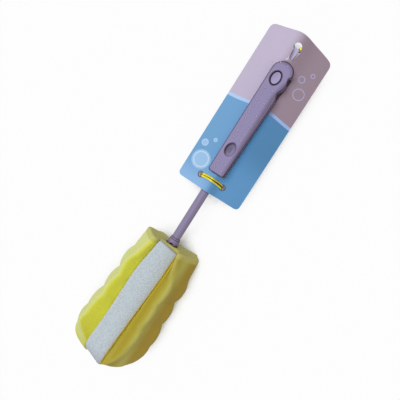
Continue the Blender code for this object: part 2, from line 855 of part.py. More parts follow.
# Ribbon ties
def make_ties():
    over = card_thickness / 2.0 + gap + tie_half_thickness + tie_slack
    under = -(shaft_radius + gap + tie_half_thickness + tie_slack)
    lap = under - 2.0 * tie_half_thickness - gap
    left_level = card_height(punch_at, punch_left)
    right_level = card_height(punch_at, punch_right)
    knots = [(-tie_lap, lap), (0.0, lap), (punch_left * 0.36, lap)]
    knots += [(punch_left * 0.68, between(lap, left_level, 0.10)),
              (punch_left * 0.92, between(lap, left_level, 0.45)), (punch_left, left_level)]
    knots.append((punch_left * 0.93, left_level + over * 1.15))
    for share in (0.72, 0.54, 0.36, 0.18, 0.0):
        side = punch_left * share
        knots.append((side, card_height(punch_at, side) + over))
    for share in (0.20, 0.38, 0.56, 0.72):
        side = punch_right * share
        knots.append((side, card_height(punch_at, side) + over))
    knots.append((punch_right * 0.93, right_level + over * 1.15))
    knots += [(punch_right, right_level), (punch_right * 0.92, between(under, right_level, 0.40)),
              (punch_right * 0.66, between(under, right_level, 0.06)), (punch_right * 0.34, under),
              (0.0, under), (tie_lap, under)]
    path = spline_through(knots, 4)

    def bowed(y, z):
        side = punch_left if y > 0.0 else punch_right
        front = smooth((z - card_height(punch_at, y)) / (2.0 * over) + 0.5)
        return punch_at + tie_bow * front * clamp(1.0 - (y / side) ** 2)

    lower = ribbon("lower_twist_tie", path, bowed, tie_half_width, tie_half_thickness)
    lower = add_part("lower_twist_tie", lower, gold_ribbon)

    middle = -(eye_hole_radius + eye_radius) / 2.0
    half_height = eye_half_thickness + gap + tie_half_thickness + tie_slack / 4.0
    path = []
    opening = upper_tie_open / upper_tie_half_span
    for step in range(33):
        angle = -math.pi / 2.0 + opening + (2.0 * math.pi - 2.0 * opening) * step / 32
        wide = math.copysign(abs(math.cos(angle)) ** 0.42, math.cos(angle))
        high = math.copysign(abs(math.sin(angle)) ** 0.42, math.sin(angle))
        path.append((middle + upper_tie_half_span * wide, half_height * high))
    upper = ribbon("upper_twist_tie", path, lambda y, z: 0.0, upper_tie_half_width, tie_half_thickness)
    upper.transform(Matrix.Translation((eye_centre, eye_side, 0.0)) @ Matrix.Rotation(upper_tie_turn, 4, "Z"))
    upper = add_part("upper_twist_tie", upper, gold_ribbon)
    return [lower, upper]


def corners_of(things):
    bpy.context.view_layer.update()
    graph = bpy.context.evaluated_depsgraph_get()
    low = [math.inf] * 3
    high = [-math.inf] * 3
    for thing in things:
        shown = thing.evaluated_get(graph)
        mesh = shown.to_mesh()
        for vertex in mesh.vertices:
            for axis in range(3):
                low[axis] = min(low[axis], vertex.co[axis])
                high[axis] = max(high[axis], vertex.co[axis])
        shown.to_mesh_clear()
    return low, high


def main():
    handle = [make_shaft(), make_clip()]
    head = [make_foam(), make_strip()]
    handle += make_grip()
    handle.append(make_card())
    handle += make_ties()
    low, high = corners_of(handle + head)
    shift = (-(low[0] + high[0]) / 2.0, -(low[1] + high[1]) / 2.0, -low[2])

    root = bpy.data.objects.new("brush_root", None)
    root.location = shift
    parts.objects.link(root)
    slide = bpy.data.objects.new("head_slide", None)
    parts.objects.link(slide)
    slide.parent = root
    for thing in handle:
        thing.parent = root
    for thing in head:
        thing.parent = slide
    for thing in cutters.objects:
        thing.parent = root
    bpy.context.view_layer.update()


main()
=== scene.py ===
import math

import bmesh
import bpy
from mathutils import Matrix, Vector, noise


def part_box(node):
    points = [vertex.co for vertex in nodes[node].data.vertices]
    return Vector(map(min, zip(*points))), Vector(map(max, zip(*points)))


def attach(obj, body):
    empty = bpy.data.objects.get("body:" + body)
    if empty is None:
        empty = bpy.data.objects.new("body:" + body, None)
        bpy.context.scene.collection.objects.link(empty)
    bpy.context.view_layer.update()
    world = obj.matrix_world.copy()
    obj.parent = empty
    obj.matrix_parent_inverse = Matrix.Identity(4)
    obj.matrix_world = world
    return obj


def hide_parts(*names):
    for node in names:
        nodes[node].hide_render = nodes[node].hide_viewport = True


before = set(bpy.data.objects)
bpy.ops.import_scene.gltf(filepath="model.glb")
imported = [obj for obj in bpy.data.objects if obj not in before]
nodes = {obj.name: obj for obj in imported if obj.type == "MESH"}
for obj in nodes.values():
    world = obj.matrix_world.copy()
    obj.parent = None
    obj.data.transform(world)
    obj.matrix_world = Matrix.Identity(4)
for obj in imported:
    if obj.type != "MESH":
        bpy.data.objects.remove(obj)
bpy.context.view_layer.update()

scene = bpy.context.scene

# The brush's own axes, in metres. X runs along the handle from the foam's end face, positive at the grip.
# Y runs to the left of the upright brush, and Z up from the handle's middle line.
shaft_start = 0.0029
shaft_low, shaft_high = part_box("shaft")
clip_low, clip_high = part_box("fork_clip")
axis = Vector((shaft_low[0] - shaft_start, (clip_low[1] + clip_high[1]) / 2.0,
               (clip_low[2] + clip_high[2]) / 2.0))


def linear(red, green, blue):
    """A colour from its 0 to 255 display values."""
    out = []
    for value in (red, green, blue):
        share = value / 255.0
        out.append(share / 12.92 if share <= 0.04045 else ((share + 0.055) / 1.055) ** 2.4)
    return tuple(out)


def tinted(colour, shares):
    return tuple(value * share for value, share in zip(colour, shares))


probe_samples = 8


class Graph:
    """A material, its body colour and short ways to write its nodes."""

    def __init__(self, name):
        self.material = bpy.data.materials.new(name)
        self.material.use_nodes = True
        self.tree = self.material.node_tree
        self.shader = self.tree.nodes["Principled BSDF"]
        self.body = None

    def node(self, kind, **values):
        made = self.tree.nodes.new(kind)
        for key, value in values.items():
            setattr(made, key, value)
        return made

    def put(self, value, socket):
        if isinstance(value, bpy.types.NodeSocket):
            self.tree.links.new(value, socket)
        elif socket.type == "RGBA" and len(value) == 3:
            socket.default_value = (*value, 1.0)
        else:
            socket.default_value = value

    def set(self, name, value):
        self.put(value, self.shader.inputs[name])

    def math(self, operation, *values):
        made = self.node("ShaderNodeMath", operation=operation)
        for value, socket in zip(values, made.inputs):
            self.put(value, socket)
        return made.outputs[0]

    def plus(self, first, second):
        return self.math("ADD", first, second)

    def minus(self, first, second):
        return self.math("SUBTRACT", first, second)

    def ratio(self, first, second):
        return self.math("DIVIDE", first, second)

    def larger(self, first, second):
        return self.math("MAXIMUM", first, second)

    def smaller(self, first, second):
        return self.math("MINIMUM", first, second)

    def times(self, first, *others):
        for other in others:
            first = self.math("MULTIPLY", first, other)
        return first

    def flip(self, share):
        return self.minus(1.0, share)

    def between(self, share, low, high):
        """A number that goes from low to high as the share goes from 0 to 1."""
        return self.plus(self.times(share, high - low), low)

    def length(self, first, second):
        return self.math("SQRT", self.plus(self.times(first, first), self.times(second, second)))

    def step(self, value, none, full):
        """A share, 0 where the value is none and 1 where it is full, eased. None may be the larger one."""
        made = self.node("ShaderNodeMapRange", interpolation_type="SMOOTHSTEP")
        self.put(value, made.inputs["Value"])
        self.put(none, made.inputs["From Min"])
        self.put(full, made.inputs["From Max"])
        return made.outputs["Result"]

    def join(self, share, first, second, kind):
        """First at a share of 0 and second at 1, for colours, vectors or numbers."""
        sort = {"RGBA": "RGBA", "VECTOR": "VECTOR", "FLOAT": "VALUE"}[kind]
        made = self.node("ShaderNodeMix", data_type=kind)
        ends = [socket for socket in made.inputs if socket.type == sort and socket.name in ("A", "B")]
        self.put(share, made.inputs["Factor"])
        self.put(first, ends[0])
        self.put(second, ends[1])
        return [socket for socket in made.outputs if socket.type == sort][0]

    def mix(self, share, first, second):
        return self.join(share, first, second, "RGBA")

    def cover(self, share, colour, strength=1.0):
        """Lay a colour over the body where the share is 1, as thickly as the strength says."""
        self.body = self.mix(self.times(share, strength), self.body, colour)

    def place(self):
        """The point on the brush's own axes."""
        made = self.node("ShaderNodeVectorMath", operation="SUBTRACT")
        self.put(self.node("ShaderNodeTexCoord").outputs["Object"], made.inputs[0])
        self.put(tuple(axis), made.inputs[1])
        return made.outputs[0]

    def split(self, vector):
        made = self.node("ShaderNodeSeparateXYZ")
        self.put(vector, made.inputs[0])
        return made.outputs

    def noise(self, vector, scale, detail):
        made = self.node("ShaderNodeTexNoise")
        self.put(vector, made.inputs["Vector"])
        made.inputs["Scale"].default_value = scale
        made.inputs["Detail"].default_value = detail
        made.inputs["Roughness"].default_value = 0.5
        return made.outputs["Fac"]

    def cells(self, vector, scale, feature="F1"):
        made = self.node("ShaderNodeTexVoronoi", feature=feature)
        self.put(vector, made.inputs["Vector"])
        made.inputs["Scale"].default_value = scale
        return made.outputs["Distance"]

    def openness(self, reach, inside=False):
        """1 on open faces, less in corners closer than reach or, inside, near edges closer than reach."""
        made = self.node("ShaderNodeAmbientOcclusion", samples=probe_samples, inside=inside)
        made.inputs["Distance"].default_value = reach
        return made.outputs["AO"]

    def hemmed(self, reach, none, full, inside=False):
        """The share in corners, from the openness at which it starts to the one at which it is full."""
        return self.step(self.openness(reach, inside), none, full)

    def facing(self):
        """The face's outward direction on the object's own axes."""
        return self.split(self.node("ShaderNodeTexCoord").outputs["Normal"])

    def rounded(self, radius):
        """The face's direction with its edges rounded off."""
        made = self.node("ShaderNodeBevel", samples=probe_samples)
        made.inputs["Radius"].default_value = radius
        return made.outputs["Normal"]

    def surface(self, roughness, specular):
        self.set("Base Color", self.body)
        self.set("Roughness", roughness)
        self.set("Specular IOR Level", specular)

    def bump(self, height, distance, strength, normal=None):
        made = self.node("ShaderNodeBump")
        if normal is not None:
            self.put(normal, made.inputs["Normal"])
        made.inputs["Strength"].default_value = strength
        made.inputs["Distance"].default_value = distance
        self.put(height, made.inputs["Height"])
        self.tree.links.new(made.outputs["Normal"], self.shader.inputs["Normal"])


# Every band below goes from where its share is none to where it is full

# Places on the handle, in metres. An oval has its middle's X, its half length and its half width.
grip_face = 0.0070
grip_half_width = 0.0080
round_at = 0.178
round_side = -0.00205
round_radius = 0.00995
round_half_width = round_radius - round_side
inlay_oval = (0.1719, 0.0054, 0.0036)
dimple_oval = (0.1000, 0.0070, 0.0050)
flare_band = (0.155, round_at)
eye_light_band = (0.188, 0.196)
front_band = (0.0, 0.002)
ledge_band = (0.0030, 0.0012)
dot_band = (grip_face + 0.00001, grip_face + 0.00014)

# The handle's softened edges and the dimple's lip, in metres
edge_radius = 0.0034
fall_run = 0.0041
fall_drop = fall_run * 0.30
dimple_rise = 0.0013

# Bands of how far a handle's face looks up, right or another way, where 1 is straight that way
turning_up = (0.97, 0.80)
top_up = (0.10, 0.45)
fall_up = (0.30, 0.70)
ledge_up = (0.5, 0.9)
glint_right = (0.01, 0.07)
glint_past = (0.22, 0.10)
flank_right = (0.12, 0.42)
flank_other = (0.40, 0.62)

# Bands out from the dimple's middle, where 1 is its edge
dimple_inside = (1.0, 0.72)
dimple_rim = (0.70, 0.88)
dimple_rim_past = (1.14, 0.98)
dimple_rising = (0.66, 1.02)

# Bands across a hollow, toward the light
inlay_shade = (-0.4, 0.9)
dimple_shade = (-0.9, 0.9)
dimple_rim_shade = (-0.2, 0.7)
dimple_rim_glint = (-0.2, -0.9)

# Painted shade in corners: the reach in metres, and the openness from which to which it darkens
outline_corner = (0.0018, 0.84, 0.52)
fine_corner_shade = (0.0011, 1.0, 0.74)
broad_corner_shade = (0.0035, 0.97, 0.42)

# Tints, as shares of a plastic's own colour; after the first two, each is painted shade or a painted
# highlight
darker_tint = (0.97, 0.97, 0.97)
lighter_tint = (1.03, 1.03, 1.03)
corner_shade_tint = (0.34, 0.25, 0.24)
glint_tint = (1.45, 1.25, 1.15)
flank_shade_tint = (0.46, 0.30, 0.27)
fall_shade_tint = (0.34, 0.20, 0.15)
outline_shade_tint = (0.26, 0.15, 0.14)
dot_highlight_tint = (1.62, 1.50, 1.28)
ledge_shade_tint = (0.24, 0.12, 0.11)
inlay_shade_tint = (0.62, 0.62, 0.62)
dimple_shade_tint = (0.38, 0.38, 0.38)
dimple_glint_tint = (1.45, 1.30, 1.20)


class Plastic(Graph):
    """Moulded plastic, a little mottled, with a fine grain whose height is in metres."""

    def __init__(self, name, colour, grain=0.00003):
        super().__init__(name)
        self.colour = colour
        self.normal = None
        spot = self.place()
        self.x, self.y, self.z = self.split(spot)
        mottle = self.noise(spot, scale=90.0, detail=4.0)
        self.body = self.mix(mottle, tinted(colour, darker_tint), tinted(colour, lighter_tint))
        self.height = self.times(self.noise(spot, scale=2600.0, detail=2.0), grain)

    def tint(self, share, tint, strength=1.0):
        self.cover(share, tinted(self.colour, tint), strength)

    def in_oval(self, middle, half_length, half_width):
        """The place along and over an oval, from -1 to 1 inside it."""
        return self.ratio(self.minus(self.x, middle), half_length), self.ratio(self.y, half_width)

    def toward_light(self, along, over):
        """How far a point of a hollow lies to its upper left, where the wall turns away from the light."""
        return self.plus(self.times(along, 0.5), self.times(over, 0.85))

    def from_right_edge(self):
        """How far a point lies inside the grip's right edge, along its side and round its end."""
        half_width = self.between(self.step(self.x, *flare_band), grip_half_width, round_half_width)
        straight = self.plus(self.y, half_width)
        past = self.larger(self.minus(self.x, round_at), 0.0)
        aside = self.smaller(self.minus(self.y, round_side), 0.0)
        round_end = self.minus(round_radius, self.length(past, aside))
        return self.join(self.math("GREATER_THAN", self.x, round_at), straight, round_end, "FLOAT")

    def soften_edges(self):
        """Edges that turn over softly, with a painted glint, painted shade on the flanks and falling toward
        the right edge, and a thin painted dark outline of shade.
        """
        turned = self.rounded(edge_radius)
        lean = self.split(turned)
        flat = self.node("ShaderNodeNewGeometry").outputs["Normal"]
        self.normal = self.join(self.step(lean[2], *turning_up), flat, turned, "VECTOR")
        up = self.facing()[2]
        on_top = self.step(up, *top_up)
        to_right = self.times(lean[1], -1.0)
        # Painted highlight near the right edge
        glint = self.times(self.step(to_right, *glint_right), self.step(to_right, *glint_past))
        self.tint(glint, glint_tint, strength=0.5)
        # Painted shade on the flanks, most on the right
        flank = self.larger(self.step(to_right, *flank_right), self.step(lean[1], *flank_other))
        flank = self.larger(flank, self.step(lean[0], *flank_other))
        self.tint(self.times(flank, self.between(on_top, 0.15, 0.80)), flank_shade_tint)
        # Painted shade that deepens toward the grip's right edge, where the bump also drops the face
        fall = self.flip(self.ratio(self.from_right_edge(), fall_run))
        fall = self.smaller(self.larger(fall, 0.0), 1.0)
        fall = self.times(fall, self.step(up, *fall_up))
        self.tint(fall, fall_shade_tint, strength=0.5)
        self.height = self.minus(self.height, self.times(fall, fall, fall_drop))
        # Painted shade as a thin dark outline along the edges
        outline = self.times(self.hemmed(*outline_corner, inside=True), on_top)
        self.tint(outline, outline_shade_tint, strength=0.75)

    def highlight_dots(self):
        # Painted highlight on the tops of the raised dots
        self.tint(self.step(self.z, *dot_band), dot_highlight_tint, strength=0.9)

    def shade_ledge(self):
        """Painted shade on the back half's ledge where it shows in the finger scallops."""
        ledge = self.times(self.step(self.z, *ledge_band), self.step(self.facing()[2], *ledge_up))
        self.tint(ledge, ledge_shade_tint, strength=0.85)

    def paint_eye_light(self):
        # Painted light: the hanging eye is made lighter than the rest of the shaft
        self.cover(self.step(self.x, *eye_light_band), linear(200, 192, 224), strength=0.8)

    def shade_inlay(self):
        # Painted shade across the inlay, darker toward its upper left
        toward = self.toward_light(*self.in_oval(*inlay_oval))
        self.tint(self.step(toward, *inlay_shade), inlay_shade_tint, strength=0.5)

    def shade_dimple(self):
        along, over = self.in_oval(*dimple_oval)
        toward = self.toward_light(along, over)
        far = self.length(along, over)
        front = self.step(self.z, *front_band)
        # Painted shade inside the dimple and on its upper left rim, and a painted highlight on its lower
        # right rim
        inside = self.times(self.step(far, *dimple_inside), front)
        depth = self.between(self.step(toward, *dimple_shade), 0.25, 0.70)
        self.tint(self.times(inside, depth), dimple_shade_tint)
        rim = self.times(self.step(far, *dimple_rim), front, self.step(far, *dimple_rim_past))
        self.tint(self.times(rim, self.step(toward, *dimple_rim_shade)), corner_shade_tint, strength=0.75)
        self.tint(self.times(rim, self.step(toward, *dimple_rim_glint)), dimple_glint_tint, strength=0.45)
        rise = self.times(self.step(far, *dimple_rising), front, dimple_rise)
        self.height = self.plus(self.height, rise)

    def finish(self, roughness):
        # Painted shade in corners, fine and broad
        self.tint(self.hemmed(*fine_corner_shade), corner_shade_tint, strength=0.7)
        self.tint(self.hemmed(*broad_corner_shade), corner_shade_tint)
        self.surface(roughness, specular=0.35)
        self.bump(self.height, distance=1.0, strength=0.9, normal=self.normal)
        return self.material


# Bands along and across the head, in metres
foam_left = (-0.013, 0.008)
foam_right_valley = (-0.0125, -0.0215)
foam_right_rim = (-0.020, -0.027)
foam_upper = (-0.120, -0.085)
foam_above_foot = (-0.134, -0.112)
foam_foot = (-0.110, -0.130)
foam_end = (-0.006, -0.002)
foam_lip = (-0.0055, -0.0030)
strip_left = (-0.011, 0.006)
strip_foot = (-0.112, -0.134)

# Bands of how far a head's face looks one way, where 1 is straight that way
foam_down = (0.30, -0.25)
foam_up = (-0.25, 0.30)
foam_pale_left = (0.05, 0.55)
foam_end_along = (0.45, 0.85)
strip_flank_right = (0.30, 0.75)

# Bands of a ridge's sharpness, of the distance from a pore's middle, and of noise
foam_ridge = (0.503, 0.540)
foam_pore = (0.45, 0.05)
strip_pore = (0.62, 0.20)
strip_speck = (0.52, 0.68)
strip_pore_scale = 640.0

# Painted shade in the foam's valleys, and painted light where foam touches what it holds: the reach in
# metres, and the openness
foam_valley = (0.016, 0.60, 0.15)
foam_touch = (0.0022, 0.85, 0.35)


def foam_material():
    """Yellow foam with fine pores, with painted light and shade: paler on its left side and ridges, darker on
    its right side and deeper in its valleys.
    """
    g = Graph("foam_finish")
    spot = g.place()
    x, y = g.split(spot)[:2]
    along, aside, up = g.facing()
    fine = g.noise(spot, scale=900.0, detail=2.0)
    pores = g.cells(spot, scale=1100.0)
    left = g.step(y, *foam_left)
    lip = g.step(x, *foam_lip)
    # Painted light and shade: the left side lit and pale, the right side darker and more amber, darkest by
    # the strip
    shaded_right_side = g.mix(g.step(y, *foam_right_valley), linear(168, 148, 34), linear(184, 178, 88))
    lit_left_side = g.mix(g.step(x, *foam_upper), linear(206, 204, 66), linear(224, 226, 70))
    g.body = g.mix(left, shaded_right_side, lit_left_side)
    g.cover(g.noise(spot, scale=45.0, detail=3.0), linear(196, 186, 70), strength=0.14)
    # Painted shade on the right outer slopes
    g.cover(g.times(g.flip(left), g.step(y, *foam_right_rim)), linear(168, 142, 50))
    # Faces turned away from the top blend to a plain yellow, without the painted light and shade above
    g.cover(g.step(up, *foam_down), linear(200, 190, 76))
    # Painted sheen: left slopes that look up and aside are paler
    pale = g.times(left, g.step(up, *foam_up), g.step(aside, *foam_pale_left))
    pale = g.times(pale, g.between(g.step(x, *foam_above_foot), 0.25, 1.0))
    g.cover(pale, linear(214, 220, 150), strength=0.85)
    end = g.times(g.step(x, *foam_end), g.step(along, *foam_end_along))
    g.cover(end, g.mix(left, linear(178, 172, 92), linear(188, 188, 120)), strength=0.85)
    # Painted shade: a deeper yellow in the valleys
    g.cover(g.hemmed(*foam_valley), g.mix(left, linear(184, 162, 26), linear(212, 210, 52)))
    # Painted highlight on the ridges
    ridge_highlight = g.step(g.node("ShaderNodeNewGeometry").outputs["Pointiness"], *foam_ridge)
    ridge_highlight = g.times(ridge_highlight, g.between(g.step(x, *foam_foot), 0.75, 0.20))
    g.cover(ridge_highlight, g.mix(left, linear(198, 194, 116), linear(216, 220, 138)))
    g.cover(g.step(pores, *foam_pore), linear(176, 160, 52), strength=0.4)
    g.cover(lip, linear(190, 184, 106), strength=0.7)
    # Painted light where the foam touches the strip, lifting the shade there
    g.cover(g.times(g.hemmed(*foam_touch), g.flip(lip)), linear(236, 214, 60), strength=0.85)
    g.cover(fine, linear(222, 217, 112), strength=0.05)
    g.surface(roughness=0.95, specular=0.10)
    g.set("Sheen Weight", 0.08)
    g.set("Sheen Roughness", 0.6)
    g.bump(g.plus(pores, g.times(fine, 0.6)), distance=0.00014, strength=0.5)
    return g.material


def scrub_material():
    """White open-cell web, with painted shade to its right and at its foot, and painted yellow light from the
    foam on its right flank.
    """
    g = Graph("scrub_finish")
    spot = g.place()
    x, y = g.split(spot)[:2]
    pores = g.cells(spot, strip_pore_scale)
    web = g.cells(spot, strip_pore_scale, "DISTANCE_TO_EDGE")
    specks = g.noise(spot, scale=1300.0, detail=2.0)
    to_right = g.times(g.facing()[1], -1.0)
    # Painted shade: the web is darker to its right
    g.body = g.mix(g.step(y, *strip_left), linear(176, 182, 180), linear(194, 206, 214))
    g.cover(g.noise(spot, scale=60.0, detail=3.0), linear(200, 208, 214), strength=0.3)
    g.cover(g.step(pores, *strip_pore), linear(146, 154, 158), strength=0.26)
    g.cover(g.step(specks, *strip_speck), linear(226, 232, 236), strength=0.5)
    # Painted shade at the foot
    g.cover(g.step(x, *strip_foot), linear(172, 170, 192), strength=0.45)
    # Painted yellow light from the foam on the right flank
    g.cover(g.step(to_right, *strip_flank_right), linear(226, 206, 84), strength=0.85)
    g.surface(roughness=0.9, specular=0.2)
    g.bump(g.minus(pores, g.times(web, 0.5)), distance=0.0003, strength=0.7)
    return g.material


# The lower tie's ribbon, which bows toward the grip in its middle, and the wire in it, in metres
tie_at = 0.0680
tie_bow = 0.0015
tie_side = 0.0117
tie_right = (tie_side * 0.8, tie_side * -0.9)
tie_end = (tie_side * 0.84, tie_side * 0.98)
ribbon_edge = (0.0010, 0.0014)
wire_left_half_width = 0.00028
wire_right_half_width = 0.00084
wire_blur = 0.00012


def gold_material(name, cored):
    """Gold film; on a cored ribbon the wire shows as a dark line that widens to the right."""
    g = Graph(name)
    spot = g.place()
    x, y = g.split(spot)[:2]
    ripple = g.noise(spot, scale=700.0, detail=2.0)
    g.body = g.mix(ripple, linear(250, 224, 16), linear(255, 246, 50))
    if cored:
        bow = g.times(y, y, -tie_bow / tie_side ** 2)
        across = g.minus(x, g.plus(bow, tie_at + tie_bow))
        from_middle = g.math("ABSOLUTE", across)
        right = g.step(y, *tie_right)
        half = g.between(right, wire_left_half_width, wire_right_half_width)
        wire = g.step(from_middle, g.plus(half, wire_blur), g.minus(half, wire_blur))
        # Painted shade along the ribbon's upper edge, stronger to the right
        upper_edge_shade = g.times(g.step(across, *ribbon_edge), g.between(right, 0.25, 0.65))
        g.cover(upper_edge_shade, linear(120, 92, 14))
        g.cover(wire, linear(62, 40, 14), strength=0.95)
        # Painted shade at the ribbon's ends, where it goes into the punched holes
        g.cover(g.step(g.math("ABSOLUTE", y), *tie_end), linear(104, 72, 40), strength=0.8)
    g.surface(roughness=0.5, specular=0.5)
    g.set("Metallic", 0.2)
    g.bump(ripple, distance=0.0002, strength=0.5)
    return g.material


# The card's fields and the wave between them, in metres
card_left = (-0.006, 0.008)
card_low_right = (0.112, 0.080)
card_low_left = (0.082, 0.058)
wave_at = 0.1445
wave_half_width = 0.0014
wave_blur = 0.00015
wave_height = 0.0016
wave_rate = 95.0
wave_start = 0.012

# The card's printed discs and rings, each by its middle's X and Y and its radius
print_blur = 0.00025
outline_width = 0.0006
bubbles = [(0.0795, 0.0195, 0.0090), (0.0945, 0.0245, 0.0034), (0.1010, 0.0172, 0.0020)]
outlines = [(0.172, -0.0235, 0.0052), (0.184, -0.0190, 0.0030), (0.1915, -0.0255, 0.0020)]

# The card's punched holes, and its torn fibres by their middle's X and Y, their radius and their blur
punch_sides = (0.0121, -0.0112)
punch_radius = 0.0030
punch_blur = 0.0003
upper_fibres = (0.1926, -0.0002, 0.0011, 0.0005)
lower_fibres = (0.1906, 0.0010, 0.0008, 0.0004)
fibre_band = (0.30, 0.50)

# Painted light that lifts the brush's shade on the card, and painted shade in a dark line along the grip and
# in the gaps: the reach in metres, and the openness
card_shade = (0.011, 0.95, 0.55)
card_shade_upper = (0.140, 0.150)
card_line_reach = 0.0030
card_line = (0.82, 0.54)
card_gap = (0.66, 0.40)
card_line_from = (0.0745, 0.0765)
gap_shade_colour = linear(64, 44, 48)


def card_material():
    """A mauve upper field, a blue lower field, a pale wave between them and plain bubbles."""
    g = Graph("card_finish")
    spot = g.place()
    x, y = g.split(spot)[:2]

    def disc(middle_x, middle_y, radius, blur=print_blur):
        far = g.length(g.minus(x, middle_x), g.minus(y, middle_y))
        return g.step(far, radius + blur, radius - blur)

    def ring(middle_x, middle_y, radius, width):
        return g.minus(disc(middle_x, middle_y, radius), disc(middle_x, middle_y, radius - width))

    wave = g.times(g.math("SINE", g.times(g.minus(y, wave_start), wave_rate)), wave_height)
    level = g.plus(x, wave)

    def above(edge):
        return g.step(level, edge - wave_blur, edge + wave_blur)

    left = g.step(y, *card_left)
    # Painted light and shade: each field is lighter on the card's left half than on its right
    blue = g.mix(g.step(x, *card_low_right), linear(82, 138, 183), linear(96, 154, 203))
    pale = g.mix(left, linear(160, 186, 235), linear(180, 212, 248))
    mauve = g.mix(left, linear(158, 138, 152), linear(197, 186, 209))
    g.body = g.mix(left, blue, linear(112, 166, 211))
    # Painted highlight at the lower left
    g.cover(g.times(g.step(x, *card_low_left), left), linear(142, 186, 231))
    g.cover(above(wave_at - wave_half_width), pale)
    g.cover(above(wave_at + wave_half_width), mauve)
    for middle_x, middle_y, radius in bubbles:
        g.cover(disc(middle_x, middle_y, radius), linear(164, 204, 240), strength=0.85)
        g.cover(ring(middle_x, middle_y, radius * 0.82, radius * 0.10), linear(206, 226, 244))
    for middle_x, middle_y, radius in outlines:
        g.cover(ring(middle_x, middle_y, radius, outline_width), linear(184, 184, 226))
    grain = g.noise(spot, scale=400.0, detail=3.0)
    g.cover(grain, linear(120, 110, 130), strength=0.06)
    tufts = g.step(g.noise(spot, scale=1500.0, detail=2.0), *fibre_band)
    torn = g.times(g.larger(disc(*upper_fibres), disc(*lower_fibres)), tufts)
    g.cover(torn, linear(226, 228, 240), strength=0.85)
    # Painted light that lifts the brush's shade on the card, right of the grip
    beside = g.times(g.hemmed(*card_shade), g.flip(left))
    shade_lift = g.mix(g.step(x, *card_shade_upper), linear(98, 174, 236), linear(172, 150, 166))
    g.cover(beside, shade_lift, strength=0.9)
    # Painted shade in the punched holes
    for side in punch_sides:
        g.cover(disc(tie_at, side, punch_radius, punch_blur), linear(82, 54, 46), strength=0.85)
    # Painted shade: a dark line along the grip's left edge and dark gaps beside the brush
    near = g.openness(card_line_reach)
    line = g.times(g.step(near, *card_line), g.step(x, *card_line_from), left)
    g.cover(line, gap_shade_colour, strength=0.8)
    g.cover(g.step(near, *card_gap), gap_shade_colour)
    g.surface(roughness=0.55, specular=0.2)
    g.bump(grain, distance=0.00003, strength=0.4)
    return g.material


def dress(name, finish, angle):
    """Give a CAD piece its finish, and smooth shading over edges up to an angle in degrees."""
    thing = nodes[name]
    mesh = thing.data
    if not mesh.materials:
        mesh.materials.append(finish)
    for slot in thing.material_slots:
        slot.link = "OBJECT"
        slot.material = finish
    mesh.shade_smooth()
    mesh.set_sharp_from_angle(angle=math.radians(angle))


def dress_soft(thing, finish):
    thing.data.materials.clear()
    thing.data.materials.append(finish)
    thing.data.shade_smooth()


def new_object(name, data):
    thing = bpy.data.objects.new(name, data)
    scene.collection.objects.link(thing)
    return thing


weld_distance = 0.000005


def clean_copy(name):
    """A welded copy of a CAD node's mesh."""
    working = bmesh.new()
    working.from_mesh(nodes[name].data)
    bmesh.ops.remove_doubles(working, verts=working.verts, dist=weld_distance)
    bmesh.ops.recalc_face_normals(working, faces=working.faces)
    mesh = bpy.data.meshes.new(name + "_copy")
    working.to_mesh(mesh)
    working.free()
    return mesh


def bake(thing):
    """Apply a thing's modifiers."""
    bpy.context.view_layer.update()
    graph = bpy.context.evaluated_depsgraph_get()
    mesh = bpy.data.meshes.new_from_object(thing.evaluated_get(graph))
    old = thing.data
    thing.modifiers.clear()
    thing.data = mesh
    bpy.data.meshes.remove(old)


def soften(thing, rounds):
    step = thing.modifiers.new("soften", "SMOOTH")
    step.factor = 0.5
    step.iterations = rounds
    return step


def remeshed(name, source, size, rounds):
    """An even, smoothed copy of a CAD node, with faces of a size in metres."""
    thing = new_object(name, clean_copy(source))
    step = thing.modifiers.new("even", "REMESH")
    step.mode = "VOXEL"
    step.voxel_size = size
    soften(thing, rounds)
    bake(thing)
    return thing


def portion(value, none, full):
    """A share that goes straight from 0 where the value is none to 1 where it is full."""
    return min(max((value - none) / (full - none), 0.0), 1.0)


def ease(value, none, full):
    """The same, eased at both ends."""
    share = portion(value, none, full)
    return share * share * (3.0 - 2.0 * share)


# The foam's lips beside the strip: where they are, in metres, and how high they stand
lip_start, lip_stop = -0.130, -0.001
lip_lowest = 0.002
lip_inside = 0.0085
lip_right_band = (-0.0185, -0.0115)
lip_left_band = (0.0150, 0.0105)
lip_up = (0.3, 0.7)
lip_right_height = 0.0012
lip_left_height = 0.0004


def bulge_lips(thing):
    """Foam stands up a little where the strip presses it on the front side."""
    mesh = thing.data
    rises = [vertex.normal.z for vertex in mesh.vertices]
    for vertex, rise in zip(mesh.vertices, rises):
        x, y, z = vertex.co - axis
        if rise < lip_up[0] or z < lip_lowest or abs(y) <= lip_inside or not lip_start < x < lip_stop:
            continue
        if y < 0.0:
            height = ease(y, *lip_right_band) * lip_right_height
        else:
            height = ease(y, *lip_left_band) * lip_left_height
        vertex.co.z += height * ease(rise, *lip_up)
    mesh.update()


# The right outer corner of the foam's end face, in metres
corner_along = (-0.013, -0.005)
corner_aside = (-0.017, -0.025)


def round_corner(thing, rounds):
    group = thing.vertex_groups.new(name="corner")
    for vertex in thing.data.vertices:
        x, y, z = vertex.co - axis
        share = portion(x, *corner_along) * portion(y, *corner_aside)
        if share > 0.0:
            group.add([vertex.index], share, "REPLACE")
    soften(thing, rounds).vertex_group = "corner"
    bake(thing)


def swell(thing, amount, right_extra):
    """Press a soft piece's sides out against what holds it, by more on its right."""
    mesh = thing.data
    normals = [vertex.normal.copy() for vertex in mesh.vertices]
    for vertex, normal in zip(mesh.vertices, normals):
        more = amount + right_extra * ease(-normal.y, 0.2, 0.8)
        vertex.co = vertex.co + Vector((normal.x, normal.y, 0.0)) * more
    mesh.update()


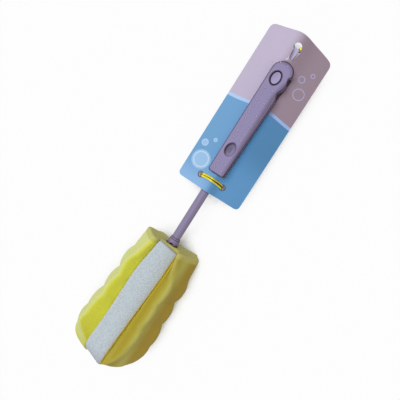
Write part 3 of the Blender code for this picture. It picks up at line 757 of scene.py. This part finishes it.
def roughen(thing, amount, scale, seed):
    """Make a soft piece uneven, but never press it into the floor."""
    offset = Vector((seed, seed * 2.0, seed * 3.0))
    mesh = thing.data
    normals = [vertex.normal.copy() for vertex in mesh.vertices]
    for vertex, normal in zip(mesh.vertices, normals):
        push = noise.noise(vertex.co * scale + offset) * amount
        vertex.co = vertex.co + normal * push
        vertex.co.z = max(vertex.co.z, 0.0)
    mesh.update()


# Handle: shaft, collar, grip and inlay
shaft_plastic = Plastic("shaft_finish", linear(140, 130, 162))
shaft_plastic.paint_eye_light()
clip_plastic = Plastic("clip_finish", linear(138, 124, 156))
grip_plastic = Plastic("grip_finish", linear(144, 136, 176), grain=0.00006)
grip_plastic.soften_edges()
grip_plastic.highlight_dots()
grip_plastic.shade_ledge()
grip_plastic.shade_dimple()
grip_finish = grip_plastic.finish(roughness=0.55)
inlay_plastic = Plastic("inlay_finish", linear(164, 156, 196))
inlay_plastic.shade_inlay()
dress("shaft", shaft_plastic.finish(roughness=0.45), angle=40.0)
dress("fork_clip", clip_plastic.finish(roughness=0.48), angle=35.0)
dress("grip_front_shell", grip_finish, angle=32.0)
dress("grip_back_shell", grip_finish, angle=32.0)
dress("thumb_inlay", inlay_plastic.finish(roughness=0.5), angle=32.0)

# Foam head
foam = remeshed("soft_foam_head", "foam_head", size=0.0009, rounds=12)
bulge_lips(foam)
round_corner(foam, rounds=40)
roughen(foam, amount=0.00016, scale=160.0, seed=3.0)
roughen(foam, amount=0.00008, scale=900.0, seed=5.0)
dress_soft(foam, foam_material())
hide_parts("foam_head")
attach(foam, "head")

# Scrub strip
strip = remeshed("soft_scrub_strip", "scrub_strip", size=0.0007, rounds=4)
swell(strip, amount=0.00065, right_extra=0.0007)
roughen(strip, amount=0.00030, scale=900.0, seed=7.0)
roughen(strip, amount=0.00018, scale=1900.0, seed=9.0)
dress_soft(strip, scrub_material())
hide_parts("scrub_strip")
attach(strip, "head")

# Card and ties
dress("hang_card", card_material(), angle=40.0)
dress("lower_twist_tie", gold_material("cored_gold", cored=True), angle=40.0)
dress("upper_twist_tie", gold_material("plain_gold", cored=False), angle=40.0)

white = (1.0, 1.0, 1.0, 1.0)
floor_half_side = 3.0
floor_shade_reach = 0.030
floor_open = (0.40, 0.64)
floor_glow = 0.92


def floor_material():
    """A floor that looks white where it lies open, and keeps the shade of what stands on it."""
    g = Graph("floor_finish")
    g.body = (0.86, 0.86, 0.86)
    g.surface(roughness=0.9, specular=0.1)
    glow = g.node("ShaderNodeEmission")
    glow.inputs["Color"].default_value = white
    glow.inputs["Strength"].default_value = 1.0
    path = g.node("ShaderNodeLightPath")
    seen = g.larger(path.outputs["Is Camera Ray"], path.outputs["Is Glossy Ray"])
    seen = g.larger(seen, path.outputs["Is Transmission Ray"])
    is_open = g.step(g.openness(floor_shade_reach), *floor_open)
    both = g.node("ShaderNodeMixShader")
    g.put(g.times(seen, is_open, floor_glow), both.inputs["Fac"])
    g.tree.links.new(g.shader.outputs["BSDF"], both.inputs[1])
    g.tree.links.new(glow.outputs["Emission"], both.inputs[2])
    g.tree.links.new(both.outputs["Shader"], g.tree.nodes["Material Output"].inputs["Surface"])
    return g.material


# Floor
working = bmesh.new()
bmesh.ops.create_grid(working, x_segments=1, y_segments=1, size=floor_half_side)
floor_mesh = bpy.data.meshes.new("floor")
working.to_mesh(floor_mesh)
working.free()
floor = new_object("floor", floor_mesh)
floor.data.materials.append(floor_material())

# Camera: its place on the brush's own axes, its turn in radians and its focal length in picture widths
camera_place = Vector((0.085743, -0.039542, 0.346139))
turn = (Matrix.Rotation(-1.0032975, 3, "Z") @ Matrix.Rotation(0.1535393, 3, "Y")
        @ Matrix.Rotation(-0.0306623, 3, "X"))
focal_widths = 387.13 / 400.0
sensor_width = 36.0
view = bpy.data.cameras.new("camera")
view.sensor_fit = "HORIZONTAL"
view.sensor_width = sensor_width
view.lens = focal_widths * sensor_width
view.clip_start = 0.01
view.clip_end = 20.0
camera = new_object("camera", view)
camera.matrix_world = Matrix.LocRotScale(axis + camera_place, turn, None)
scene.camera = camera

# Key lamp: broad and cool, from the upper left of the picture
key_spread = 44.0
key_power = 1.85
key_toward = turn @ Vector((-0.34, 0.26, 0.90))
lamp = bpy.data.lights.new("key", "SUN")
lamp.angle = math.radians(key_spread)
lamp.energy = key_power
lamp.color = (0.95, 1.0, 1.05)
key = new_object("key", lamp)
key.location = key_toward.normalized()
key.rotation_euler = key_toward.to_track_quat("Z", "Y").to_euler()

# Surroundings: warm and dim as light, white where they are seen
ambient_power = 0.42
world = bpy.data.worlds.new("studio")
scene.world = world
world.use_nodes = True
sky = world.node_tree
ambient = sky.nodes["Background"]
ambient.inputs["Color"].default_value = (1.0, 0.93, 0.87, 1.0)
ambient.inputs["Strength"].default_value = ambient_power
backdrop = sky.nodes.new("ShaderNodeBackground")
backdrop.inputs["Color"].default_value = white
backdrop.inputs["Strength"].default_value = 1.0
path = sky.nodes.new("ShaderNodeLightPath")
seen = sky.nodes.new("ShaderNodeMath")
seen.operation = "MAXIMUM"
sky.links.new(path.outputs["Is Camera Ray"], seen.inputs[0])
sky.links.new(path.outputs["Is Transmission Ray"], seen.inputs[1])
both = sky.nodes.new("ShaderNodeMixShader")
sky.links.new(seen.outputs[0], both.inputs["Fac"])
sky.links.new(ambient.outputs["Background"], both.inputs[1])
sky.links.new(backdrop.outputs["Background"], both.inputs[2])
sky.links.new(both.outputs["Shader"], sky.nodes["World Output"].inputs["Surface"])

scene.view_settings.view_transform = "Standard"
